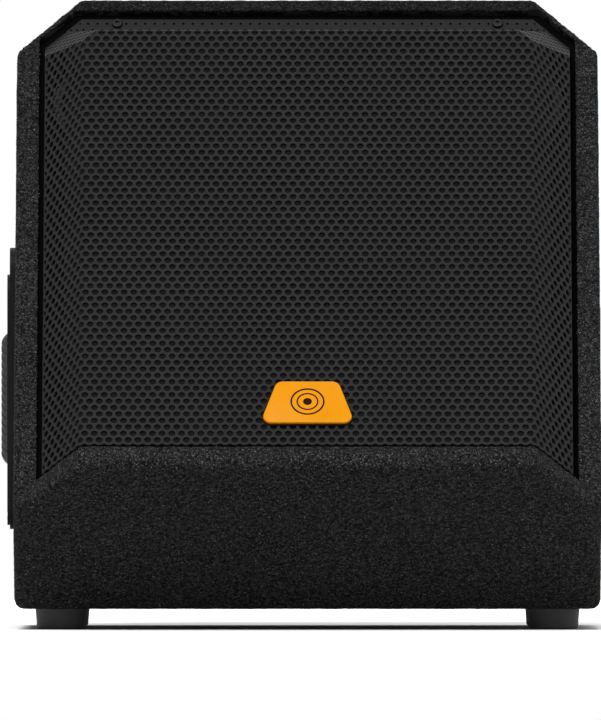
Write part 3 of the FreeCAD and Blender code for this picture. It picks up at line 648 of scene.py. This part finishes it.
def make_carpet():
    """The carpet: matted and lumpy, turned in round the front opening, cut out at the side plates."""
    co = points_of(NODES["carpet_cover"].data)
    local = slope_coords(co)
    tiny = 0.0002
    body = co[local[:, 2] <= tiny]
    thick = RIM_LOW + tiny
    on_lip = (local[:, 2] > -tiny) & (local[:, 1] <= thick) & (abs(local[:, 0]) < LIP_REACH)
    lip = co[on_lip]
    low = local[on_lip]
    deep = low[(low[:, 1] < tiny) | (low[:, 2] < 0.004)]
    sunk = [at(x, u, -0.03) for x, u, _ in deep]
    bm = bmesh.new()
    hull(bm, [Vector(p) for p in body])
    hull(bm, [Vector(p) for p in lip] + sunk)
    obj = from_bmesh("carpet", bm)
    remesh = obj.modifiers.new("fine", "REMESH")
    remesh.mode = "VOXEL"
    remesh.voxel_size = CARPET_CELL
    remesh.adaptivity = 0
    apply_modifiers(obj)

    bm = bmesh.new()
    bm.from_mesh(obj.data)
    bm.normal_update()
    # Front opening: cut the rim plane along the outline, then take its middle away.
    outline = [
        (RIM_HALF, RIM_LOW), (RIM_HALF, RIM_CORNER_U), (RIM_CORNER_X, RIM_TOP),
        (-RIM_CORNER_X, RIM_TOP), (-RIM_HALF, RIM_CORNER_U), (-RIM_HALF, RIM_LOW),
    ]
    centre = at(0, 0.25, 0)

    def front_faces():
        return [f for f in bm.faces if abs((f.calc_center_median() - ORIGIN).dot(N_DIR)) < 0.0012
                and f.normal.dot(N_DIR) > 0.8]

    planes = []
    for (x0, u0), (x1, u1) in zip(outline, outline[1:] + outline[:1]):
        along = (at(x1, u1, 0) - at(x0, u0, 0)).normalized()
        out = along.cross(N_DIR)
        planes.append((at(x0, u0, 0), out))
        bisect(bm, at(x0, u0, 0), out, front_faces())
    doomed = [
        f for f in front_faces()
        if all((f.calc_center_median() - p).dot(n) < 0 for p, n in planes)
    ]
    bmesh.ops.delete(bm, geom=doomed, context="FACES")

    def window(node, half_y, half_z, middle_z, side):
        low_corner, high_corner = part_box(node)
        mid_y = (low_corner.y + high_corner.y) / 2
        wall = MIDDLE_X + side * WALL_X

        def wall_faces():
            return [f for f in bm.faces if abs(f.calc_center_median().x - wall) < 0.0012
                    and abs(f.normal.x) > 0.8 and abs(f.calc_center_median().y - mid_y) < half_y + 0.01
                    and abs(f.calc_center_median().z - middle_z) < half_z + 0.01]

        for axis, middle, half in ((1, mid_y, half_y), (2, middle_z, half_z)):
            for sign in (-1, 1):
                point = Vector((0, 0, 0))
                point[axis] = middle + sign * half
                normal = Vector((0, 0, 0))
                normal[axis] = sign
                bisect(bm, point, normal, wall_faces())
        inside = [f for f in wall_faces() if abs(f.calc_center_median().y - mid_y) < half_y
                  and abs(f.calc_center_median().z - middle_z) < half_z]
        bmesh.ops.delete(bm, geom=inside, context="FACES")

    window("handle_cup", *HANDLE_WINDOW, HANDLE_MIDDLE_Z, -1)
    plate_low, plate_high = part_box("terminal_plate")
    window("terminal_plate", *DISH_WINDOW, (plate_low.z + plate_high.z) / 2, 1)

    # Turn the edge of the front opening in, down to the baffle.
    rim_edges = [
        e for e in bm.edges
        if e.is_boundary and abs(((e.verts[0].co + e.verts[1].co) / 2 - ORIGIN).dot(N_DIR)) < 0.002
    ]
    made = bmesh.ops.extrude_edge_only(bm, edges=rim_edges)["geom"]
    for v in (g for g in made if isinstance(g, bmesh.types.BMVert)):
        level = (v.co - ORIGIN).dot(N_DIR)
        v.co += N_DIR * (LINING - level)
    bmesh.ops.subdivide_edges(
        bm, edges=[e for e in bm.edges if e.calc_length() > 0.0045
                   and abs(e.verts[0].co.y - e.verts[1].co.y) > 0.003
                   and min((v.co - ORIGIN).dot(N_DIR) for v in e.verts) > LINING - 0.0004
                   and max((v.co - ORIGIN).dot(N_DIR) for v in e.verts) < 0.0006
                   and abs((e.verts[0].co - e.verts[1].co).dot(N_DIR)) > 0.004], cuts=1)
    bmesh.ops.recalc_face_normals(bm, faces=bm.faces)
    bm.to_mesh(obj.data)
    bm.free()

    # Pile: broad lumps and small tufts.
    co = points_of(obj.data)
    nor = normals_of(obj.data)
    push = np.array([
        0.00022 * noise.noise(Vector(p) * 70) + 0.00030 * noise.noise(Vector(p) * 260 + Vector((7, 3, 1)))
        for p in co
    ])
    co = co + nor * push[:, None]
    set_points(obj.data, co)
    make_fibres(obj.data)
    solid = obj.modifiers.new("thick", "SOLIDIFY")
    solid.thickness = CARPET_T
    solid.offset = -1
    apply_modifiers(obj)
    obj.data.polygons.foreach_set("use_smooth", [True] * len(obj.data.polygons))
    finish_piece(obj, "carpet", replaced=["carpet_cover"])
    return obj


FIBRES_FRONT = 0.34e6
FIBRES_LIP = 0.62e6
FIBRES_REST = 0.06e6


def fibre_material():
    """Loose surface fibres of the felt, paler than the mat."""
    m = Nodes("carpet_fibre", (0.05, 0.05, 0.05), Roughness=0.8)
    m.shader.inputs["Specular IOR Level"].default_value = 0.12
    tone = m.noise(760, 2, 0.6)
    paleness = m.ramp(tone, [(0.41, (0.0015,)), (0.53, (0.011,)), (0.66, (0.105,))])
    # Painted shade: the fibres are darkened up the slope like the mat, a little at the lip and by half at the top
    # edge.
    m.color(m.math("MULTIPLY", paleness, painted_slope_shade(m)))
    m.normal(m.bump(m.noise(2500, 2, 0.5), 0.00004))
    return m.material


def make_fibres(mesh):
    """Curly loose fibres lying on the carpet, thickest on the worn lip over the kick board."""
    rng = np.random.default_rng(11)
    mesh.calc_loop_triangles()
    corner = np.zeros(len(mesh.loop_triangles) * 3, dtype=np.int64)
    mesh.loop_triangles.foreach_get("vertices", corner)
    corner = corner.reshape(-1, 3)
    co, nor = points_of(mesh), normals_of(mesh)
    a, b, c = co[corner[:, 0]], co[corner[:, 1]], co[corner[:, 2]]
    cross = np.cross(b - a, c - a)
    area = np.linalg.norm(cross, axis=1) / 2
    normal = nor[corner].mean(1)
    normal /= np.linalg.norm(normal, axis=1)[:, None]
    local = slope_coords((a + b + c) / 3)
    facing = normal @ np.array(N_DIR)
    down_front = normal @ np.array(-U_DIR)
    sideways, up_slope, level = local[:, 0], local[:, 1], local[:, 2]
    in_slot = (level < -0.0008) & (level > LINING - 0.001) & (abs(sideways) < RIM_HALF + 0.001)
    in_slot &= (up_slope > RIM_LOW) & (up_slope < RIM_TOP + 0.001)
    density = np.where((facing > 0.5) | (down_front > 0.5), FIBRES_FRONT, FIBRES_REST)
    lip = (up_slope < RIM_LOW + 0.0005) & (level > -0.001) & (facing > 0.25)
    density = np.where(lip, FIBRES_LIP, density)
    density = np.where(in_slot, 0.0, density)
    chance = area * density
    count = int(chance.sum())
    pick = rng.choice(len(corner), count, p=chance / chance.sum())
    w = rng.random((count, 2))
    flip = w.sum(1) > 1
    w[flip] = 1 - w[flip]
    root = a[pick] + (b - a)[pick] * w[:, :1] + (c - a)[pick] * w[:, 1:]
    up = normal[pick]
    side = np.cross(up, rng.normal(size=(count, 3)))
    side /= np.linalg.norm(side, axis=1)[:, None]
    ahead = np.cross(side, up)
    step = rng.uniform(0.0005, 0.0011, count)[:, None]
    bend = rng.normal(0, 0.55, count)
    half = rng.uniform(0.00011, 0.00023, count)[:, None]
    lift = rng.uniform(0.00004, 0.00022, count)[:, None]
    heights = (-0.6, 0.8, 1.0, -0.5)
    point = root - ahead * step * 1.5
    rows = []
    turn = -bend
    for height in heights:
        cos, sin = np.cos(turn)[:, None], np.sin(turn)[:, None]
        heading = ahead * cos + side * sin
        across = side * cos - ahead * sin
        middle = point + up * (lift * height)
        rows.append(middle - across * half)
        rows.append(middle + across * half)
        point = point + heading * step
        turn = turn + bend
    verts = np.stack(rows, 1).reshape(-1, 3)
    base = (np.arange(count) * 8)[:, None, None]
    quad = np.array([(0, 1, 3, 2), (2, 3, 5, 4), (4, 5, 7, 6)])[None]
    faces = (base + quad).reshape(-1, 4)
    loose = bpy.data.meshes.new("carpet_fibres")
    loose.from_pydata(verts.tolist(), [], faces.tolist())
    obj = new_object("carpet_fibres", loose)
    finish_piece(obj, "carpet", material=fibre_material())


make_carpet()


# ---------------------------------------------------------------- grille
PITCH = 0.00707
ROW = PITCH * math.sqrt(3) / 2
HOLE_R = 0.00258
SHEET = 0.0012
FLAT_HALF = 0.166
FLAT_TOP = 0.417
SIDE_X = 0.1939
FLANGE_U = 0.460
FLANGE_END = 0.4732
FLANGE_LEVEL = BAFFLE_FRONT + 0.0015
GRILLE_LOW = 0.0181
BEVEL = math.radians(50)
TOP_BEVEL = math.atan2(LIP - FLANGE_LEVEL, FLANGE_U - FLAT_TOP)
FOLD_R = 0.0016
FIRST_ROW = 0.4147
FLANGE_HOLES = 0.4
CLIP_HOLES = 0.78
CLIP_FOOT = ((0.1939, 0.4452), (0.1674, 0.4729))
CLIP_HEAD = (0.166, 0.4064)


def folded(angles):
    """Plane offset and drop against developed length, for a sheet that turns to each angle at each place."""
    length = np.linspace(0, 0.56, 5601)
    turn = np.zeros_like(length)
    last = 0.0
    for place, angle in angles:
        share = np.clip((length - place) / (2 * FOLD_R) + 0.5, 0, 1)
        turn += (angle - last) * share * share * (3 - 2 * share)
        last = angle
    step = length[1] - length[0]
    run = np.concatenate([[0], np.cumsum(np.cos(turn[:-1]) * step)])
    drop = np.concatenate([[0], np.cumsum(np.sin(turn[:-1]) * step)])
    return length, run, drop


SIDE_END = FLAT_HALF + (SIDE_X - FLAT_HALF) / math.cos(BEVEL)
TOP_END = FLAT_TOP + (FLANGE_U - FLAT_TOP) / math.cos(TOP_BEVEL)


def grille_points(flat):
    """Points (s, t) of the developed sheet as (x, u, level) of the folded grille."""
    side = folded([(FLAT_HALF, BEVEL), (SIDE_END, math.pi / 2)])
    top = folded([(FLAT_TOP, TOP_BEVEL), (TOP_END, 0.0)])
    s, t = flat[:, 0], flat[:, 1]
    x = np.sign(s) * np.interp(abs(s), side[0], side[1])
    u = np.where(t < 0, t, np.interp(np.maximum(t, 0), top[0], top[1]))
    drop = np.maximum(np.interp(abs(s), side[0], side[2]), np.interp(np.maximum(t, 0), top[0], top[2]))
    return np.stack([x, u, LIP - drop], 1)


def hex_cells(s_range, t_range, first_row, radius_at=lambda t: HOLE_R):
    """Hexagonal cells, each with a round hole, over a rectangle of the flat sheet."""
    corner_angles = [math.radians(60 * i - 30) for i in range(6)]
    ring_angles = [math.radians(30 * i - 30) for i in range(12)]
    corner_r = PITCH / math.sqrt(3)
    verts = []
    index = {}
    faces = []

    def vertex(s, t):
        key = (round(s * 1e6), round(t * 1e6))
        for near in ((key[0] + a, key[1] + b) for a in (-1, 0, 1) for b in (-1, 0, 1)):
            if near in index:
                return index[near]
        index[key] = len(verts)
        verts.append((s, t))
        return index[key]

    low_row = math.floor((t_range[0] - first_row) / ROW) - 1
    high_row = math.ceil((t_range[1] - first_row) / ROW) + 1
    for row in range(low_row, high_row + 1):
        t = first_row + row * ROW
        shift = 0.5 if row % 2 == 0 else 0.0
        radius = radius_at(t)
        for column in range(math.floor(s_range[0] / PITCH) - 1, math.ceil(s_range[1] / PITCH) + 2):
            s = (column + shift) * PITCH
            corners = [vertex(s + corner_r * math.cos(a), t + corner_r * math.sin(a)) for a in corner_angles]
            start = len(verts)
            verts.extend((s + radius * math.cos(a), t + radius * math.sin(a)) for a in ring_angles)
            for i in range(6):
                h = [start + (2 * i + k) % 12 for k in range(3)]
                faces.append((h[0], corners[i], corners[(i + 1) % 6], h[2], h[1]))
    return np.array(verts), faces


def trimmed(points, faces, cuts):
    """A mesh cut by planes given as (point, outward normal), keeping what is inside them all."""
    mesh = bpy.data.meshes.new("trim")
    mesh.from_pydata(points, [], faces)
    bm = bmesh.new()
    bm.from_mesh(mesh)
    bpy.data.meshes.remove(mesh)
    for point, normal in cuts:
        bisect(bm, point, normal, bm.faces[:], True)
    bmesh.ops.delete(bm, geom=[v for v in bm.verts if not v.link_faces], context="VERTS")
    bmesh.ops.recalc_face_normals(bm, faces=bm.faces)
    if sum(f.calc_area() * f.normal.dot(N_DIR) for f in bm.faces) < 0:
        bmesh.ops.reverse_faces(bm, faces=bm.faces)
    return bm


def clip_plane(sign):
    """The bevel across one clipped corner: a foot point, its direction along the foot, its outward normal."""
    (ax, au), (bx, bu) = CLIP_FOOT
    low = at(sign * ax, au, FLANGE_LEVEL)
    high = at(sign * bx, bu, FLANGE_LEVEL)
    head = at(sign * CLIP_HEAD[0], CLIP_HEAD[1], LIP)
    along = (high - low).normalized()
    normal = along.cross(head - low).normalized()
    if normal.dot(N_DIR) < 0:
        normal = -normal
    return low, along, normal


def make_grille():
    """A round-hole perforated sheet, folded down at both sides, the top and the clipped corners."""
    side_len = SIDE_END + 0.0195
    top_len = TOP_END + FLANGE_END - FLANGE_U
    flat, faces = hex_cells(
        (-side_len, side_len), (GRILLE_LOW, top_len), FIRST_ROW,
        lambda t: HOLE_R if t < TOP_END else HOLE_R * FLANGE_HOLES,
    )
    floor_cut = (at(0, 0, BAFFLE_FRONT + 0.0004), -N_DIR)
    clips = [clip_plane(sign) for sign in (-1, 1)]
    cuts = [(at(0, GRILLE_LOW, 0), -U_DIR), (at(0, FLANGE_END, 0), U_DIR), floor_cut]
    cuts += [(low, normal) for low, _, normal in clips]
    sheets = [trimmed([at(*p) for p in grille_points(flat)], faces, cuts)]
    for sign, (low, along, normal) in zip((-1, 1), clips):
        up = along.cross(normal)
        if up.dot(N_DIR) < 0:
            up = -up
        patch, cells = hex_cells((-0.02, 0.09), (-0.09, 0.09), 0.0021, lambda t: HOLE_R * CLIP_HOLES)
        points = [low + up * s + along * t for s, t in patch]
        side_out = Vector((sign * math.sin(BEVEL), 0, 0)) + N_DIR * math.cos(BEVEL)
        top_out = U_DIR * math.sin(TOP_BEVEL) + N_DIR * math.cos(TOP_BEVEL)
        sheets.append(trimmed(points, cells, [
            (at(0, 0, LIP), N_DIR),
            (at(sign * FLAT_HALF, 0, LIP), side_out),
            (at(0, FLAT_TOP, LIP), top_out),
            (at(sign * SIDE_X, 0, 0), Vector((sign, 0, 0))),
            (at(0, 0, FLANGE_LEVEL), -N_DIR),
        ]))
    whole = bmesh.new()
    for bm in sheets:
        mesh = bpy.data.meshes.new("sheet")
        bm.to_mesh(mesh)
        bm.free()
        whole.from_mesh(mesh)
        bpy.data.meshes.remove(mesh)
    obj = from_bmesh("grille_sheet", whole, False)
    solid = obj.modifiers.new("thick", "SOLIDIFY")
    solid.thickness = SHEET
    solid.offset = -1
    apply_modifiers(obj)
    finish_piece(obj, "grille_black", replaced=["grille"])
    return obj


make_grille()


# ---------------------------------------------------------------- foam behind the grille
def make_foam():
    """A sheet of open-cell foam, slightly wavy, lining the inside of the grille."""
    columns, rows = 168, 110
    half = 0.1800
    t_low, t_high = GRILLE_LOW + 0.0015, FLAT_TOP + 0.050
    side_s = FLAT_HALF + (half - FLAT_HALF) / math.cos(BEVEL)
    clips = [clip_plane(sign) for sign in (-1, 1)]
    flat = np.array([
        (side_s * (2 * i / columns - 1), t_low + (t_high - t_low) * j / rows)
        for j in range(rows + 1) for i in range(columns + 1)
    ])
    local = grille_points(flat)
    mesh = bpy.data.meshes.new("foam_sheet")
    quads = [
        (start, start + 1, start + columns + 2, start + columns + 1)
        for start in (j * (columns + 1) + i for j in range(rows) for i in range(columns))
    ]
    points = [at(*p) for p in local]
    for low, _, normal in clips:
        points = [p - normal * max(0.0, (p - low).dot(normal)) for p in points]
    mesh.from_pydata(points, [], quads)
    obj = new_object("foam_sheet", mesh)
    mesh.update()
    co = points_of(mesh)
    nor = normals_of(mesh)
    if (nor @ np.array(N_DIR)).sum() < 0:
        mesh.flip_normals()
        nor = -nor
    sag = np.array([0.0016 + 0.0003 * noise.noise(Vector(p) * 25) for p in co])
    set_points(mesh, co - nor * sag[:, None])
    solid = obj.modifiers.new("thick", "SOLIDIFY")
    solid.thickness = 0.005
    solid.offset = -1
    apply_modifiers(obj)
    obj.data.polygons.foreach_set("use_smooth", [True] * len(obj.data.polygons))
    finish_piece(obj, "foam", replaced=["grille_foam"])


make_foam()


# ---------------------------------------------------------------- handle grip
GRIP_R = 0.015
RIB_DEEP = 0.0017
RIB_PITCH = 0.006
RIB_STARTS = 11


def make_grip():
    """A round grip with diagonal moulded ribs and plain rounded ends."""
    low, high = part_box("handle_grip")
    axis_x, axis_y = low.x + GRIP_R, (low.y + high.y) / 2
    length = high.z - low.z
    turns, steps = 132, 300
    bm = bmesh.new()
    rings = []
    for j in range(steps + 1):
        z = length * j / steps
        end = min(z, length - z)
        round_in = 0.010
        inset = 0.0 if end > round_in else round_in - math.sqrt(max(round_in**2 - (round_in - end) ** 2, 0))
        plain = min(1.0, max(0.0, (end - 0.005) / 0.003))
        ring = []
        for i in range(turns):
            angle = 2 * math.pi * i / turns
            wave = 0.5 + 0.5 * math.cos(2 * math.pi * (z / RIB_PITCH + RIB_STARTS * i / turns))
            groove = RIB_DEEP * plain * (1 - min(1.0, wave * 1.8))
            r = GRIP_R - inset - groove
            ring.append(bm.verts.new((axis_x + r * math.cos(angle), axis_y + r * math.sin(angle), low.z + z)))
        rings.append(ring)
    for a, b in zip(rings, rings[1:]):
        for i in range(turns):
            k = (i + 1) % turns
            bm.faces.new((a[i], a[k], b[k], b[i]))
    bm.faces.new(rings[0][::-1])
    bm.faces.new(rings[-1])
    obj = from_bmesh("ribbed_grip", bm)
    finish_piece(obj, "grip_rubber", replaced=["handle_grip"])


make_grip()


# ---------------------------------------------------------------- badge
def make_badge():
    """A plain amber plate on a black backing, with a raised border and a ring-and-dot sound mark."""
    low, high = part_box("badge")
    middle = (low + high) / 2 - ORIGIN
    u_mid = middle.dot(U_DIR)
    base = LIP + 0.0001

    def rounded(points, radius, steps=7):
        out = []
        count = len(points)
        for i, p in enumerate(points):
            a = (Vector(points[i - 1]) - Vector(p)).normalized()
            b = (Vector(points[(i + 1) % count]) - Vector(p)).normalized()
            half = a.angle(b) / 2
            reach = radius / math.tan(half)
            centre = Vector(p) + (a + b).normalized() * (radius / math.sin(half))
            start = Vector(p) + a * reach - centre
            stop = Vector(p) + b * reach - centre
            for k in range(steps + 1):
                mixed = (start * (1 - k / steps) + stop * (k / steps)).normalized() * radius
                out.append(centre + mixed)
        return out

    def plate(name, outline, low_level, high_level, chamfer, slot_name, material=None):
        bm = bmesh.new()
        centre = sum(outline, Vector((0, 0))) / len(outline)
        profile = [
            (0.0, low_level), (0.0, high_level - chamfer),
            (0.35 * chamfer, high_level - 0.25 * chamfer), (chamfer, high_level),
        ]
        rings = []
        for inset, level in profile:
            ring = []
            for p in outline:
                d = p - centre
                q = centre + d * (1 - inset / d.length)
                ring.append(bm.verts.new(at(q.x, q.y, level)))
            rings.append(ring)
        count = len(outline)
        for a, b in zip(rings, rings[1:]):
            for i in range(count):
                bm.faces.new((a[i], a[(i + 1) % count], b[(i + 1) % count], b[i]))
        bm.faces.new(rings[0][::-1])
        bm.faces.new(rings[-1])
        bmesh.ops.recalc_face_normals(bm, faces=bm.faces)
        obj = from_bmesh(name, bm, False)
        smooth_by_angle(obj, 50)
        finish_piece(obj, slot_name, material=material)
        return obj

    def trapezoid(grow):
        half_low, half_high, half_u = 0.0345 + grow, 0.0225 + grow * 0.8, 0.0195 + grow
        return [Vector((-half_low, u_mid - half_u)), Vector((half_low, u_mid - half_u)),
                Vector((half_high, u_mid + half_u)), Vector((-half_high, u_mid + half_u))]

    dark = Nodes("badge_ink", (0.012, 0.005, 0.002), Roughness=0.8)
    dark.shader.inputs["Specular IOR Level"].default_value = 0.03
    dark.normal(dark.bump(dark.noise(900, 2, 0.5), 0.00002))
    dark = dark.material
    face_outline = rounded(trapezoid(0.0), 0.0060)
    back_outline = rounded(trapezoid(0.0010), 0.0068)
    face = plate("badge_face", face_outline, base + 0.0008, base + 0.0030, 0.0007, "badge_amber")
    plate("badge_backing", back_outline, base, base + 0.0012, 0.0003, "socket_black", dark)
    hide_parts("badge")

    def ring_mark(name, radius, width, level):
        bm = bmesh.new()
        steps = 64
        turn = 2 * math.pi / steps
        rings = []
        for r, h in ((radius, 0.0), (radius, 0.00025), (radius - width, 0.00025), (radius - width, 0.0)):
            rings.append([
                bm.verts.new(at(r * math.cos(i * turn), u_mid + r * math.sin(i * turn), level + h))
                for i in range(steps)
            ])
        for a, b in zip(rings, rings[1:] + rings[:1]):
            for i in range(steps):
                k = (i + 1) % steps
                bm.faces.new((a[i], a[k], b[k], b[i]))
        bmesh.ops.recalc_face_normals(bm, faces=bm.faces)
        finish_piece(from_bmesh(name, bm, False), "socket_black", material=dark)

    top = base + 0.0030
    ring_mark("badge_ring_outer", 0.0125, 0.0012, top)
    ring_mark("badge_ring_inner", 0.0080, 0.0010, top)
    ring_mark("badge_dot", 0.0032, 0.0031, top)


make_badge()


# ---------------------------------------------------------------- wadding
def make_wadding():
    """A loose polyester pad on the back panel, swollen between its held edges."""
    low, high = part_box("damping_wadding")
    size = high - low
    count_x, count_z = 60, 40
    bm = bmesh.new()

    def sheet(outer):
        grid = []
        for j in range(count_z + 1):
            for i in range(count_x + 1):
                a, b = i / count_x, j / count_z
                rim = min(1.0, 7 * min(a, 1 - a, b, 1 - b))
                swell = 0.30 + 0.62 * math.sqrt(rim)
                lump = 0.06 * noise.noise(Vector((a * 14, b * 10, outer)))
                y = high.y - size.y * (swell + lump * rim) if outer else high.y - 0.0006
                grid.append(bm.verts.new((low.x + size.x * a, y, low.z + size.z * b)))
        return grid

    front, back = sheet(1), sheet(0)
    width = count_x + 1

    def loop(grid):
        edge = [i for i in range(width)] + [j * width + count_x for j in range(1, count_z + 1)]
        edge += [count_z * width + i for i in range(count_x - 1, -1, -1)]
        edge += [j * width for j in range(count_z - 1, 0, -1)]
        return [grid[i] for i in edge]

    for grid in (front, back):
        for j in range(count_z):
            for i in range(count_x):
                k = j * width + i
                bm.faces.new((grid[k], grid[k + 1], grid[k + width + 1], grid[k + width]))
    a, b = loop(front), loop(back)
    for i in range(len(a)):
        k = (i + 1) % len(a)
        bm.faces.new((a[i], a[k], b[k], b[i]))
    bmesh.ops.recalc_face_normals(bm, faces=bm.faces)
    obj = from_bmesh("wadding_pad", bm)
    finish_piece(obj, "wadding", replaced=["damping_wadding"])


make_wadding()
